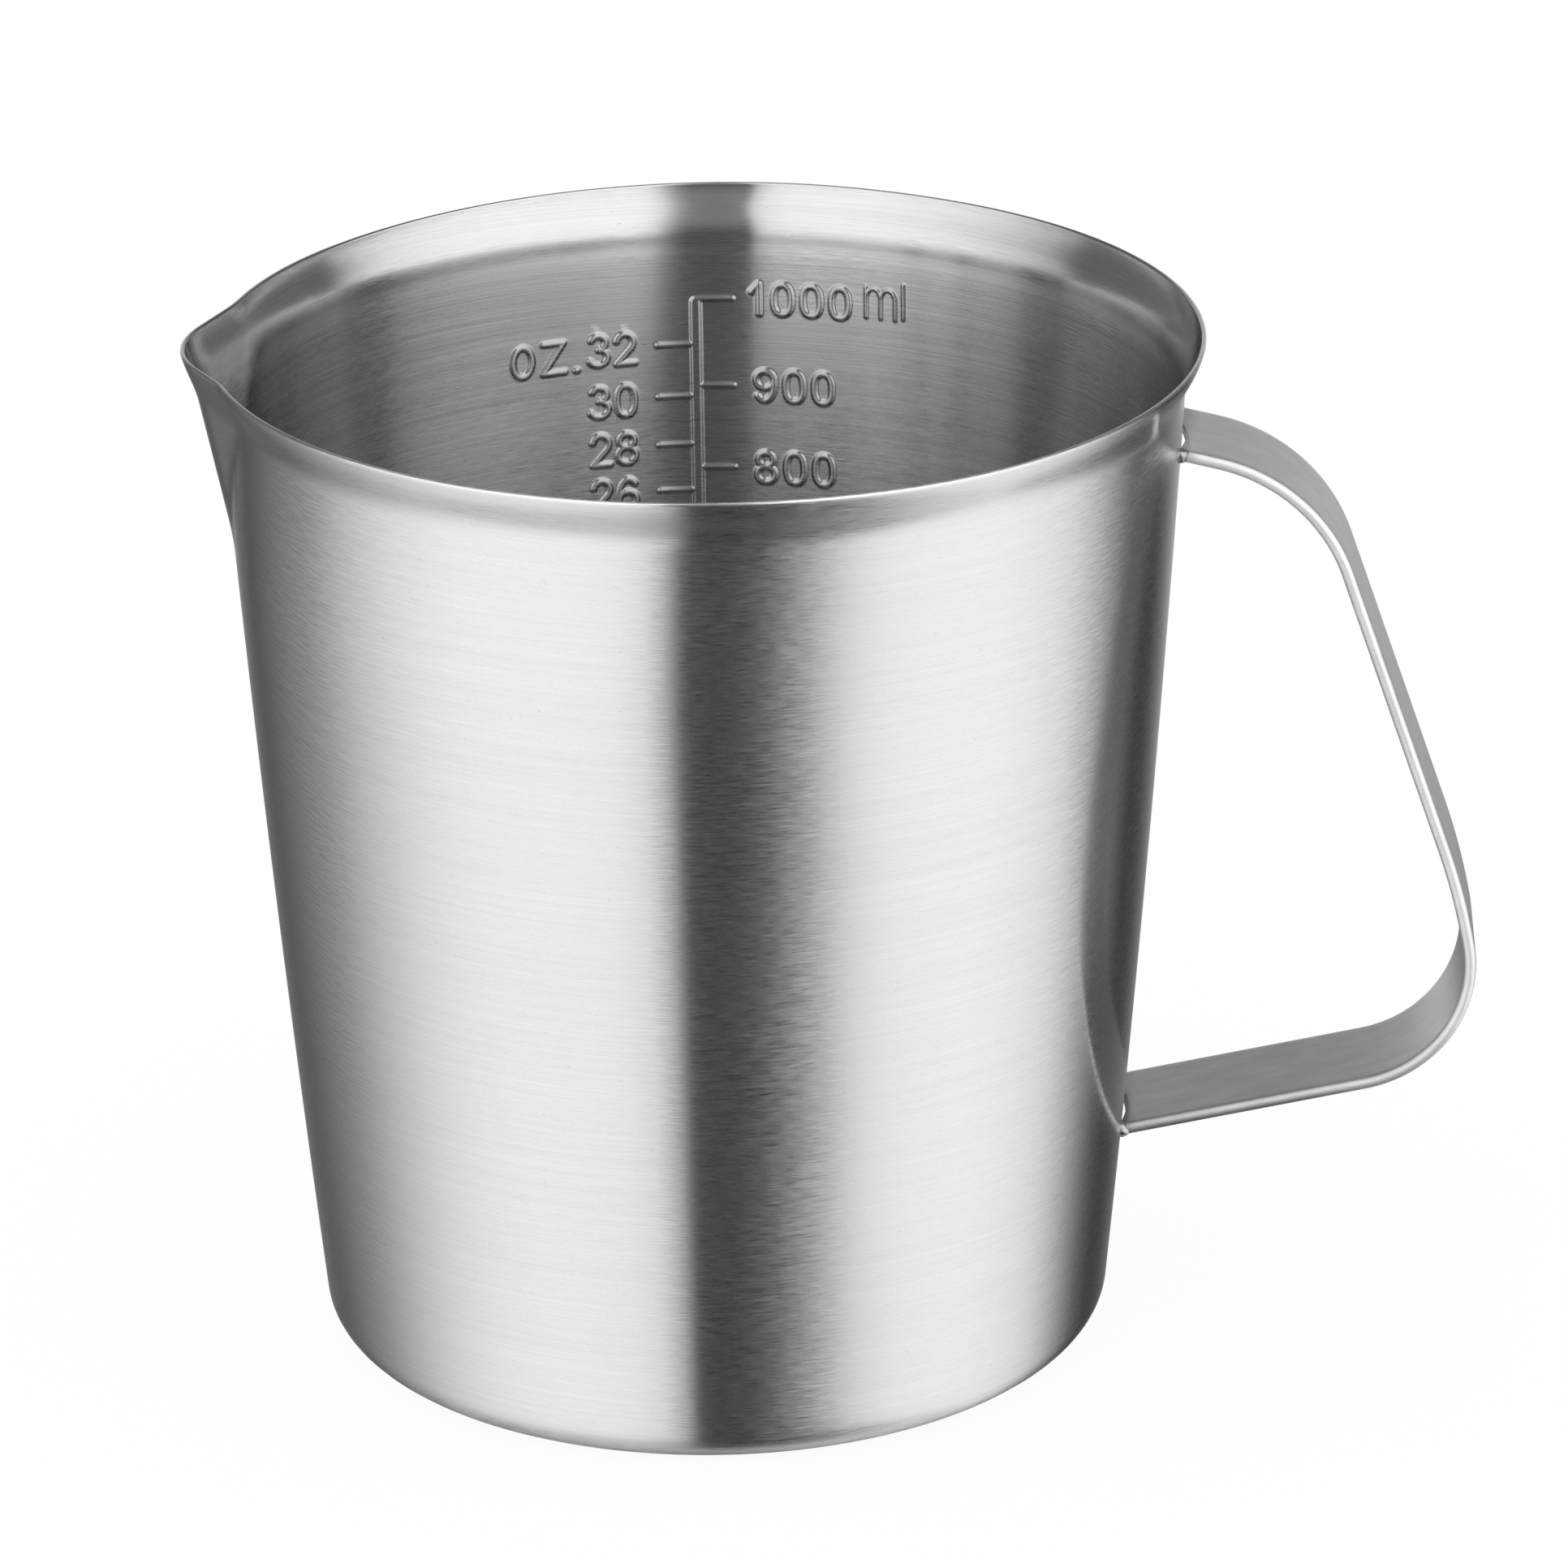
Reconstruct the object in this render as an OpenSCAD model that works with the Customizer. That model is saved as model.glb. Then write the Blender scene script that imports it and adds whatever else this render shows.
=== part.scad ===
// Measuring jug: a drawn steel cup with a flared lip and a pressed spout, and a bent strap handle
// welded to it at four corners. Millimetres, +Z up, origin at the centre of the underside of the base.
// The handle points along +X and the spout along -X.

/* [Cup] */
// Height from the resting face to the top of the lip
cup_height = 129; // [110:0.5:150]
// Radius of the wall carried down to the resting face, before the corner is rounded
base_radius = 49; // [40:0.5:54]
// Radius of the wall where the lip starts to flare
shoulder_radius = 58.8; // [56:0.1:62]
// How far the wall bows outward half way up
wall_bow = 0.58; // [0:0.02:1.5]
// Outside radius of the rounded base corner
corner_radius = 5; // [3:0.5:10]
// Thickness of the drawn sheet
sheet = 0.6; // [0.4:0.05:1.2]

/* [Lip] */
// Height of the flared band at the top of the wall
lip_height = 7; // [4:0.5:10]
// How far the flare reaches out beyond the shoulder
lip_flare = 2.2; // [1:0.1:3.5]

/* [Spout] */
// How far the tip of the spout stands out beyond the lip
spout_reach = 2.6; // [1.5:0.1:5]
// Plan radius of the rounded tip at the lip
spout_tip_radius = 20; // [14:1:26]
// Angle between each straight flank and the line of the spout
flank_angle = 64; // [58:1:70]
// Length of each straight flank beyond the tip
flank_length = 13; // [11:0.5:15]
// Lean of the spout wall from upright, below the flare
spout_lean = 11.3; // [9:0.1:15]
// Lean of the spout wall from upright, at the lip
spout_lip_lean = 22; // [18:0.5:32]
// Height of the flared band at the top of the spout
spout_lip_height = 8.4; // [5.2:0.4:9.6]

/* [Handle] */
// Width of the strap
strap_width = 17; // [12:0.5:22]
// Thickness of the strap
strap_thickness = 1.5; // [1.2:0.1:2.5]
// Height of the middle of the strap where the upper arm leaves the wall
arm_height = 115; // [110:0.2:117]
// Fall of the upper arm
upper_fall = 13.3; // [8:0.1:18]
// Straight length of the upper arm, from the wall
upper_arm = 4.8; // [4:0.2:12]
// Radius of the upper bend
upper_bend = 22.2; // [16:0.2:30]
// Fall of the straight grip
grip_fall = 71.2; // [66:0.2:76]
// Straight length of the grip
grip_length = 38; // [30:0.5:42]
// Radius of the long easy bend at the foot of the grip
easy_bend = 87; // [60:1:120]
// Fall at which the easy bend passes into the lower bend
easy_fall = 80; // [78:0.5:86]
// Radius of the lower bend
lower_bend = 16.3; // [12:0.2:22]
// Rise of the lower arm, seen from the wall outward
lower_rise = 12.1; // [8:0.1:16]
// Turn of the strap about its welded ends, out of the line of the spout
handle_turn = -3.8; // [-5:0.1:5]
// Radius of the hollow cut across each strap end
end_hollow = 24; // [16:1:36]
// Width of the strip at each edge of the strap end that meets the wall
end_land = 1.6; // [1:0.1:3]

/* [Welds] */
// Radius of a weld spot
weld_radius = 1.3; // [1:0.1:1.8]
// How far the middle of a weld spot lies in from the edge of the strap
weld_inset = 0.5; // [0.3:0.1:1]
// How far the middle of a weld spot stands off the wall
weld_stand = 0.2; // [0:0.1:0.5]

/* [Hidden] */
$fn = 128;
wall_steps = 12;
corner_steps = 8;
lip_steps = 10;
spout_steps = 6;
shoulder = cup_height - lip_height;
lip_radius = shoulder_radius + lip_flare;
// Depth below the lip to which the spout form runs, where it has sunk well inside the wall
spout_depth = 33;
spout_foot = cup_height - spout_depth;
spout_shoulder = cup_height - spout_lip_height;
flank_sink = 0.04;
over = 2;
bend_swell = 0.02;
bend_lap = 0.3;

// Outside radius of the wall at height z, and its lean from upright there
function wall_r(z) = base_radius + (shoulder_radius - base_radius) * z / shoulder
    + 4 * wall_bow * (z / shoulder) * (1 - z / shoulder);
function wall_lean(z) = atan((shoulder_radius - base_radius
    + 4 * wall_bow * (1 - 2 * z / shoulder)) / shoulder);

// Height at which the corner arc runs into the wall
corner_top = corner_radius * (1 - sin(wall_lean(corner_radius)));
corner_lean = wall_lean(corner_top);
corner_x = wall_r(corner_top) - corner_radius * cos(corner_lean);

// The flare is one arc from the lean of the wall to the lean of the lip edge
lip_start_lean = wall_lean(shoulder);
lip_end_lean = 2 * atan(lip_flare / lip_height) - lip_start_lean;
flare_radius = lip_height / (sin(lip_end_lean) - sin(lip_start_lean));

// Cup outline from the axis to one step past the lip, drawn "in" millimetres inside the outer skin
function corner_line(in) = [for (i = [0 : corner_steps])
    let (a = -90 + (90 - corner_lean) * i / corner_steps, r = corner_radius - in)
    [corner_x + r * cos(a), corner_radius + r * sin(a)]];
function wall_line(in) = [for (i = [1 : wall_steps])
    let (z = corner_top + (shoulder - corner_top) * i / wall_steps)
    [wall_r(z) - in / cos(wall_lean(z)), z]];
function lip_line(in) = [for (i = [1 : lip_steps + 1])
    let (a = lip_start_lean + (lip_end_lean - lip_start_lean) * i / lip_steps)
    [shoulder_radius + flare_radius * (cos(lip_start_lean) - cos(a)) - in / cos(a),
     shoulder + flare_radius * (sin(a) - sin(lip_start_lean))]];
function cup_line(in) = concat(corner_line(in), wall_line(in), lip_line(in));

// Spout section to one step past the lip: distance from the upright axis of the rounded tip, against
// height; "shift" moves its corners along the flare by that share of a step
spout_axis = lip_radius + spout_reach - spout_tip_radius;
spout_flare = spout_lip_height / (sin(spout_lip_lean) - sin(spout_lean));
spout_neck = spout_tip_radius - spout_flare * (cos(spout_lean) - cos(spout_lip_lean));
spout_root = spout_neck - (spout_shoulder - spout_foot) * tan(spout_lean);
function spout_line(in, shift) = concat(
    [[spout_root - in / cos(spout_lean), spout_foot]],
    [for (i = [0 : spout_steps + 1])
        let (a = spout_lean + (spout_lip_lean - spout_lean) * (i - shift) / spout_steps)
        [spout_neck + spout_flare * (cos(spout_lean) - cos(a)) - in / cos(a),
         spout_shoulder + spout_flare * (sin(a) - sin(spout_lean))]]);

// Filled form of the cup, "in" millimetres inside the outer skin and closed "up" above the lip
module cup_fill(in, up) {
    line = cup_line(in);
    last = line[len(line) - 1];
    rotate_extrude()
        polygon(concat([[0, in]], line, up > 0 ? [[last[0], last[1] + up]] : [], [[0, last[1] + up]]));
}

module spout_section(in, up, shift) {
    line = spout_line(in, shift);
    last = line[len(line) - 1];
    polygon(concat([[0, spout_foot]], line,
        up > 0 ? [[last[0], last[1] + up]] : [], [[0, last[1] + up]]));
}

// Filled form of the spout: a turned tip and two straight flanks. Each flank is sunk a hair below the
// tip's skin and has its corners between the tip's, so the two cross cleanly instead of only touching.
module spout_fill(in, up) {
    translate([-spout_axis, 0, 0]) {
        rotate_extrude()
            spout_section(in, up, 0);
        for (side = [-1, 1])
            rotate([0, 0, side * (90 + flank_angle)])
                rotate([90, 0, 0])
                    translate([0, 0, side > 0 ? 0 : -flank_length])
                        linear_extrude(flank_length)
                            spout_section(in + flank_sink, up, 0.5);
    }
}

// Everything above the lip
module above_lip() {
    translate([0, 0, cup_height])
        cylinder(r = 2 * lip_radius, h = lip_height);
}

module cup() {
    color([0.74, 0.75, 0.76])
        difference() {
            union() {
                cup_fill(0, 0);
                spout_fill(0, 0);
            }
            cup_fill(sheet, over);
            spout_fill(sheet, over);
            above_lip();
        }
}

// Strap section, thickness along x and width along y, with fully rounded edges;
// "fuller" is how far it swells on every side
module strap_section(fuller) {
    straight = strap_width - strap_thickness;
    thick = strap_thickness + 2 * fuller;
    square([thick, straight], center = true);
    for (side = [-1, 1])
        translate([0, side * straight / 2])
            circle(d = thick);
}

// A place on the strap's middle line is [x, z, fall]
function after_line(p, length) = [p[0] + length * cos(p[2]), p[1] - length * sin(p[2]), p[2]];
function after_bend(p, radius, fall) = [p[0] + radius * (sin(fall) - sin(p[2])),
    p[1] + radius * (cos(fall) - cos(p[2])), fall];

module strap_line(p, length) {
    translate([p[0], 0, p[1]])
        rotate([0, 90 + p[2], 0])
            linear_extrude(length)
                strap_section(0);
}

module strap_bend(p, radius, fall, fuller) {
    translate([p[0] - radius * sin(p[2]), 0, p[1] - radius * cos(p[2])])
        rotate([90, 0, 0])
            rotate([0, 0, 90 - fall])
                rotate_extrude(angle = fall - p[2])
                    translate([radius, 0])
                        strap_section(fuller);
}

// The strap starts and ends inside the wall, and is trimmed to it
arm_start = [wall_r(arm_height), arm_height, upper_fall];
upper_root = after_line(arm_start, -over);
grip_start = after_bend(after_line(arm_start, upper_arm), upper_bend, grip_fall);
grip_end = after_line(grip_start, grip_length);
easy_end = after_bend(grip_end, easy_bend, easy_fall);
lower_start = after_bend(easy_end, lower_bend, 180 - lower_rise);
lower_drop = (lower_start[0] - wall_r(lower_start[1])) * tan(lower_rise);
lower_length = (lower_start[0] - wall_r(lower_start[1] - lower_drop)) / cos(lower_rise) + over;
lower_end = after_line(lower_start, lower_length - over);

// Each straight runs a little way into the fuller bend beside it
module upper_straight() {
    strap_line(upper_root, over + upper_arm + bend_lap);
}

module lower_straight() {
    strap_line(after_line(lower_start, -bend_lap), lower_length + bend_lap);
}

module strap() {
    easy_lap = easy_fall + bend_lap / easy_bend * 180 / PI;
    upper_straight();
    strap_bend(after_line(arm_start, upper_arm), upper_bend, grip_fall, bend_swell);
    strap_line(after_line(grip_start, -bend_lap), grip_length + 2 * bend_lap);
    strap_bend(grip_end, easy_bend, easy_lap, bend_swell);
    strap_bend(easy_end, lower_bend, 180 - lower_rise, 2 * bend_swell);
    lower_straight();
}

// Turns the strap about the upright line through its upper end
module turned() {
    translate([wall_r(arm_height), 0, 0])
        rotate([0, 0, handle_turn])
            translate([-wall_r(arm_height), 0, 0])
                children();
}

// Sideways place of the middle of a strap end at height z
function root_y(z) = (wall_r(z) - wall_r(arm_height)) * sin(handle_turn);

// Half the width across the hollow between the two corners of a strap end
half_hollow = strap_width / 2 - end_land;
// How far each hollow cut runs above and below the middle of the strap end
cut_reach = strap_width / 2;

// Hollow cut across a strap end at height z, so that only its two corners reach the wall
module end_cut(z) {
    r = wall_r(z);
    translate([sqrt(r * r - half_hollow * half_hollow)
               - sqrt(end_hollow * end_hollow - half_hollow * half_hollow), root_y(z), z - cut_reach])
        cylinder(r = end_hollow, h = 2 * cut_reach);
}

module handle() {
    color([0.68, 0.69, 0.70])
        difference() {
            turned()
                strap();
            end_cut(arm_height);
            end_cut(lower_end[1]);
            cup_fill(0, 0);
        }
}

// Weld spots sit on the wall at the corners of the strap ends
module weld_at(z, side) {
    y = root_y(z) + side * (strap_width / 2 - weld_inset);
    r = wall_r(z);
    translate([sqrt(r * r - y * y) + weld_stand, y, z])
        rotate([0, 90, 0])
            sphere(r = weld_radius);
}

module welds() {
    color([0.55, 0.56, 0.57])
        for (side = [-1, 1]) {
            difference() {
                weld_at(arm_height, side);
                cup_fill(0, 0);
                turned()
                    upper_straight();
            }
            difference() {
                weld_at(lower_end[1], side);
                cup_fill(0, 0);
                turned()
                    lower_straight();
            }
        }
}

cup();
handle();
welds();
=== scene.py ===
# %% [markdown]
# A steel measuring jug
#
# The jug is one cup drawn from thin stainless sheet, with a bent strap welded to its side. This lesson
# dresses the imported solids: it presses the spout and the raised scale into a fine cup skin, sweeps the
# strap, lays the weld beads, gives each metal its own finish and then lights the jug as a photographer
# lights bare steel. Sizes are written in millimetres, as on a workshop drawing, and turned into metres
# when a mesh is made. Only the patterns of the finishes are laid out in metres.

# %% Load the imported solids
import math

import bpy
import numpy as np
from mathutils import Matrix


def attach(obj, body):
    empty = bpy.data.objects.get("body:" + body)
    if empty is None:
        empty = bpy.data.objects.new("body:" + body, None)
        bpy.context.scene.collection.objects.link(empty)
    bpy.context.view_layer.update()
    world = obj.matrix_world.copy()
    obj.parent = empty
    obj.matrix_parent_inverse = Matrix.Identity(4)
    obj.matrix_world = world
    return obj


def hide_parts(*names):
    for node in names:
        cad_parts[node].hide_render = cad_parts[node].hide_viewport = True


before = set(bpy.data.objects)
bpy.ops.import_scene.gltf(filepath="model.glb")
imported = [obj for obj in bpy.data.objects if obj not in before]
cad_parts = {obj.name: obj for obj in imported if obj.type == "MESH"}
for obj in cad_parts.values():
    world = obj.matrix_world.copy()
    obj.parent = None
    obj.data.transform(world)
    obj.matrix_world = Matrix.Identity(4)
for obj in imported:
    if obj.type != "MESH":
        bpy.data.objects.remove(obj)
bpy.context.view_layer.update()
MM = 0.001

# %% [markdown]
# The line of the wall
#
# A drawn cup is a turned form: one outline spun round its axis. The wall leans out as it rises, with a
# very slight bow, and rolls into the flat base through a small corner. At the top it flares out into
# the lip and turns up again towards the edge, like a soft S. A lathe modifier could spin the outline,
# but the spout and the scale break the roundness, so the outline is kept as a formula: a radius for
# every height.

# %% Cup sizes and the radius of the wall at any height
CUP_HEIGHT = 129.0
BASE_RADIUS = 49.0
SHOULDER_RADIUS = 58.78
WALL_BOW = 0.58
CORNER_RADIUS = 5.0
SHEET = 0.6
LIP_HEIGHT = 6.9
LIP_FLARE = 2.62
LIP_END_SLOPE = 0.30
SHOULDER = CUP_HEIGHT - LIP_HEIGHT


def wall_radius(z):
    """Outer radius of the plain wall, without the lip."""
    u = z / SHOULDER
    return BASE_RADIUS + (SHOULDER_RADIUS - BASE_RADIUS) * u + 4 * WALL_BOW * u * (1 - u)


def wall_slope(z):
    """How far the plain wall leans out for each millimetre of height."""
    return (SHOULDER_RADIUS - BASE_RADIUS + 4 * WALL_BOW * (1 - 2 * z / SHOULDER)) / SHOULDER


def lip_reach(z, start, end, reach):
    """How far a lip stands out at height z: its slope swells between its start and its end."""
    u = np.clip((z - SHOULDER) / LIP_HEIGHT, 0, 1)
    swell = 2 * reach / LIP_HEIGHT - start - end
    straight = start * u + (end - start) * u * u / 2
    wave = u / 2 - np.sin(2 * np.pi * u) / (4 * np.pi)
    return LIP_HEIGHT * (straight + swell * wave)


def skin_radius(z):
    """Outer radius of the round cup with its lip, as if there were no spout."""
    lip = lip_reach(z, wall_slope(SHOULDER), LIP_END_SLOPE, LIP_FLARE)
    return wall_radius(np.minimum(z, SHOULDER)) + lip


print("radius at the corner, the shoulder and the lip:",
      [round(float(skin_radius(np.array(z))), 2) for z in (CORNER_RADIUS, SHOULDER, CUP_HEIGHT)])

# %% [markdown]
# The pressed spout
#
# The spout is pressed into the finished rim: a rounded tip with two straight flanks, deepest at the lip
# and running out into the wall about a fifth of the way down. Sculpting could give the look of it, but
# a formula keeps the two flanks alike: the spout is one more outline, and the sheet takes whichever of
# the two outlines lies further out, with a small soft fillet between them. Pressing also draws the rim
# in on both sides of the spout and lets it bulge a little further round.

# %% Outline of the spout
SPOUT_AZIMUTH = 181.2
SPOUT_REACH = 63.4
SPOUT_TIP = 18.5
LEAST_TIP = 0.5
FLANK_ANGLE = 64.0
LEAST_COSINE = 0.3
SPOUT_SLOPE = 0.20
SPOUT_FLARE = 2.18


def spout_section(z):
    """Radius of the rounded tip about its own upright axis."""
    lip = lip_reach(z, SPOUT_SLOPE, LIP_END_SLOPE, SPOUT_FLARE)
    return SPOUT_TIP - SPOUT_FLARE + lip + np.minimum(z - SHOULDER, 0) * SPOUT_SLOPE


def spout_radius(turn, z):
    """Distance of the spout outline from the cup axis; turn is the angle from the spout's middle."""
    tip = np.maximum(spout_section(z), LEAST_TIP)
    axis = SPOUT_REACH - SPOUT_TIP
    square = math.radians(90 - FLANK_ANGLE)
    turn = np.abs(turn)
    tangent = np.arctan2(tip * math.sin(square), axis + tip * math.cos(square))
    inside = np.maximum(tip ** 2 - (axis * np.sin(turn)) ** 2, 0)
    round_tip = axis * np.cos(turn) + np.sqrt(inside)
    flank = (axis * math.cos(square) + tip) / np.maximum(np.cos(turn - square), LEAST_COSINE)
    return np.where(turn < tangent, round_tip, flank)


print("radius of the tip at the rim:", round(float(spout_section(np.array(CUP_HEIGHT))), 2), "mm")

# %% Rim beside the spout, and the whole outer skin
# A pull has a depth in mm and three angles from the spout: where it fades, where it ends, where it bulges.
FAR_PULL = (1.75, 40.0, 95.0, 101.0)
NEAR_PULL = (1.20, 25.0, 112.0, 119.0)
PULL_FOOT = 100.0
PULL_EASE = 1.5
SIDE_BULGE = 0.35
BULGE_SPAN = 14.0
SPOUT_MIDDLE = 12.0
SPOUT_SPAN = 0.6
SPOUT_FILLET = 0.4


def ease(share):
    """Soft step from 0 to 1 with level ends."""
    return share * share * (3 - 2 * share)


def rim_shift(turn, z):
    """Radial shift of the rim: drawn in beside the spout, bulging a little at the sides."""
    degrees = np.abs(np.degrees(turn))
    rise = np.clip((z - PULL_FOOT) / (CUP_HEIGHT - PULL_FOOT), 0, 1) ** PULL_EASE
    shift = 0
    for side, pull in ((turn < 0, FAR_PULL), (turn >= 0, NEAR_PULL)):
        depth, fade, end, bulge_at = pull
        share = np.clip((end - degrees) / (end - fade), 0, 1)
        bulge = SIDE_BULGE * np.exp(-((degrees - bulge_at) / BULGE_SPAN) ** 2)
        shift = shift + np.where(side, bulge - depth * ease(share), 0)
    return shift * rise * np.clip(degrees / SPOUT_MIDDLE, 0, 1)


def outer_radius(azimuth, z):
    """Radius of the outer skin at an azimuth in degrees and a height."""
    turn = np.radians((azimuth - SPOUT_AZIMUTH + 180) % 360 - 180)
    body = skin_radius(z) + rim_shift(turn, z)
    spout = np.where(np.abs(turn) < SPOUT_SPAN, spout_radius(turn, z), 0)
    gap = np.clip(0.5 + (spout - body) / (2 * SPOUT_FILLET), 0, 1)
    return body * (1 - gap) + spout * gap + SPOUT_FILLET * gap * (1 - gap)


tip_reach = float(outer_radius(np.array(SPOUT_AZIMUTH), np.array(CUP_HEIGHT)))
print("spout tip reaches", round(tip_reach, 2), "mm")

# %% [markdown]
# The raised scale
#
# The marks inside are coined into the sheet: a punch outside pushes narrow ridges inward, so they stand
# proud inside and are sunken outside. Text objects would give flat letters with sharp walls. Here each
# sign is a few pen strokes, and the sheet rises with a short bevel to a flat top wherever it is close
# enough to a stroke, as coined metal does.

# %% Pen strokes of the figures
DIGIT_WIDE, DIGIT_TALL = 2.35, 3.9


def arc(cx, cy, rx, ry, start, end, steps=16, square=2.0):
    """Part of an oval; a higher "square" gives straighter sides."""
    angles = np.radians(np.linspace(start, end, steps + 1))
    across = np.sign(np.cos(angles)) * np.abs(np.cos(angles)) ** (2 / square)
    up = np.sign(np.sin(angles)) * np.abs(np.sin(angles)) ** (2 / square)
    return np.stack([cx + rx * across, cy + ry * up], 1)


def line(*points):
    return np.array(points, float)


# Each sign is drawn in a unit box, which the two sizes above stretch.
SIGNS = {
    "0": [arc(0.5, 0.5, 0.5, 0.5, 0, 360, 32, 2.4)],
    "1": [line((0.12, 0.74), (0.52, 1.0), (0.52, 0.0))],
    "2": [np.vstack([arc(0.5, 0.71, 0.46, 0.29, 170, -38), line((0.04, 0.0), (1.02, 0.0))])],
    "3": [arc(0.46, 0.76, 0.42, 0.24, 155, -85), arc(0.46, 0.27, 0.52, 0.27, 85, -155)],
    "4": [line((0.76, 0.0), (0.76, 1.0), (0.0, 0.28), (1.0, 0.28))],
    "5": [np.vstack([line((0.92, 1.0), (0.17, 1.0), (0.09, 0.48)),
                     arc(0.47, 0.31, 0.52, 0.31, 125, -150)])],
    "6": [arc(0.5, 0.29, 0.5, 0.29, 0, 360, 24), arc(0.54, 0.4, 0.54, 0.6, 48, 190)],
    "7": [line((0.0, 1.0), (1.0, 1.0), (0.32, 0.0))],
    "8": [arc(0.5, 0.77, 0.41, 0.23, 0, 360, 24), arc(0.5, 0.27, 0.5, 0.27, 0, 360, 24)],
    "9": [arc(0.5, 0.71, 0.5, 0.29, 0, 360, 24), arc(0.46, 0.6, 0.54, 0.6, -132, 10)],
    "O": [arc(0.57, 0.5, 0.57, 0.5, 0, 360, 32)],
    "Z": [line((0.02, 1.0), (1.2, 1.0), (0.0, 0.0), (1.26, 0.0))],
    ".": [line((0.0, 0.0), (0.08, 0.0))],
    "m": [line((0.0, 0.0), (0.0, 1.0)),
          arc(0.43, 0.62, 0.43, 0.36, 180, 0), line((0.86, 0.62), (0.86, 0.0)),
          arc(1.29, 0.62, 0.43, 0.36, 180, 0), line((1.72, 0.62), (1.72, 0.0))],
    "l": [line((0.0, 0.0), (0.0, 1.14))],
}
print("signs drawn:", "".join(SIGNS))

# %% Lay out the bar, the ticks and the figures
BAR_AZIMUTH = 90.15
BAR_FOOT = 10.6
ML_HEIGHTS = [114.4, 102.9, 92.0]
ML_STEP, ML_COUNT = 10.8, 10
ML_TOP, ML_PER_TICK = 1000, 100
OZ_HEIGHTS = [108.4, 101.5, 95.1, 89.0]
OZ_STEP, OZ_COUNT = 6.35, 16
OZ_TOP, OZ_PER_TICK = 32, 2
OZ_DROP = 0.15
TICK_RIGHT, TICK_LEFT = 4.75, -4.95
ML_LEFT, ML_PITCH = 7.65, 3.82
OZ_LEFT, OZ_PITCH = -10.4, 3.45
NARROW_ONE = 0.72
# A sign of the two units, its left edge and how far it stands above the middle of the top tick.
OZ_UNIT = [("O", -24.4, -0.5), ("Z", -20.2, -0.5), (".", -15.75, -0.5)]
ML_UNIT = [("m", 22.4, 0.5), ("l", 27.6, 0.8)]
BAR_HALF, TICK_HALF, FIGURE_HALF, THIN_HALF = 0.90, 0.52, 0.60, 0.42

strokes = []


def write(text, left, middle, pitch=0.0, half=FIGURE_HALF):
    """Add a row of signs from the left edge of the first one and their middle height, in mm."""
    x = left
    for sign in text:
        for points in SIGNS[sign]:
            strokes.append((points * [DIGIT_WIDE, DIGIT_TALL] + [x, middle - DIGIT_TALL / 2], half))
        x += pitch


def tick(end, height):
    strokes.append((line((0, height), (end, height)), TICK_HALF))


while len(ML_HEIGHTS) < ML_COUNT:
    ML_HEIGHTS.append(ML_HEIGHTS[-1] - ML_STEP)
while len(OZ_HEIGHTS) < OZ_COUNT:
    OZ_HEIGHTS.append(OZ_HEIGHTS[-1] - OZ_STEP)

strokes.append((line((0, BAR_FOOT), (0, ML_HEIGHTS[0] - BAR_HALF + TICK_HALF)), BAR_HALF))
for step, height in enumerate(ML_HEIGHTS):
    tick(TICK_RIGHT, height)
    figures = str(ML_TOP - ML_PER_TICK * step)
    if figures[0] == "1":
        write("1", ML_LEFT - NARROW_ONE, height)
        write(figures[1:], ML_LEFT + ML_PITCH - 2 * NARROW_ONE, height, ML_PITCH)
    else:
        write(figures, ML_LEFT, height, ML_PITCH)
for step, height in enumerate(OZ_HEIGHTS):
    tick(TICK_LEFT, height)
    figures = str(OZ_TOP - OZ_PER_TICK * step)
    write(figures, OZ_LEFT - OZ_PITCH * (len(figures) - 1), height - OZ_DROP, OZ_PITCH)
for sign, left, above in OZ_UNIT:
    write(sign, left, OZ_HEIGHTS[0] + above)
for sign, left, above in ML_UNIT:
    write(sign, left, ML_HEIGHTS[0] + above, half=THIN_HALF)
print(len(strokes), "pen strokes in the scale")

# %% Height of the coined sheet
SCALE_HEIGHT = 0.22
BEVEL = 0.48


def scale_relief(along, up, widen):
    """How far the sheet is pushed inward at grids of distances along the wall and heights, in mm."""
    relief = np.zeros_like(along)
    for points, half in strokes:
        reach = half + widen
        low, high = points.min(0) - reach, points.max(0) + reach
        near = np.nonzero((along > low[0]) & (along < high[0]) & (up > low[1]) & (up < high[1]))
        if near[0].size == 0:
            continue
        spot = np.stack([along[near], up[near]], 1)
        best = np.full(len(spot), np.inf)
        for a, b in zip(points[:-1], points[1:]):
            run = b - a
            share = np.clip((spot - a) @ run / max(run @ run, 1e-9), 0, 1)
            best = np.minimum(best, np.hypot(*(spot - a - share[:, None] * run).T))
        fall = np.clip((reach - best) / (BEVEL + widen), 0, 1)
        relief[near] = np.maximum(relief[near], SCALE_HEIGHT * ease(fall))
    return relief


print("marks stand", SCALE_HEIGHT, "mm proud, with a bevel of", BEVEL, "mm")

# %% [markdown]
# The cup skin
#
# A thin sheet has two skins and a rounded edge. The outline runs from the middle of the underside up
# the outside, over the lip edge and down the inside to the middle of the floor, and each of its points
# becomes a ring. The rings are a few millimetres apart on plain wall and closer at the corner, the lip
# and the spout. Only the marks of the scale need very small faces, so just the quads that carry a mark
# are split, and the quads beside them take the extra corners on the shared edge, which leaves no cracks.

# %% Heights of the rings
CORNER_STEPS = 10
FIRST_RING = 1.5
WALL_STEP, RIM_STEP = 2.4, 1.2
LIP_RINGS = 19


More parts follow.
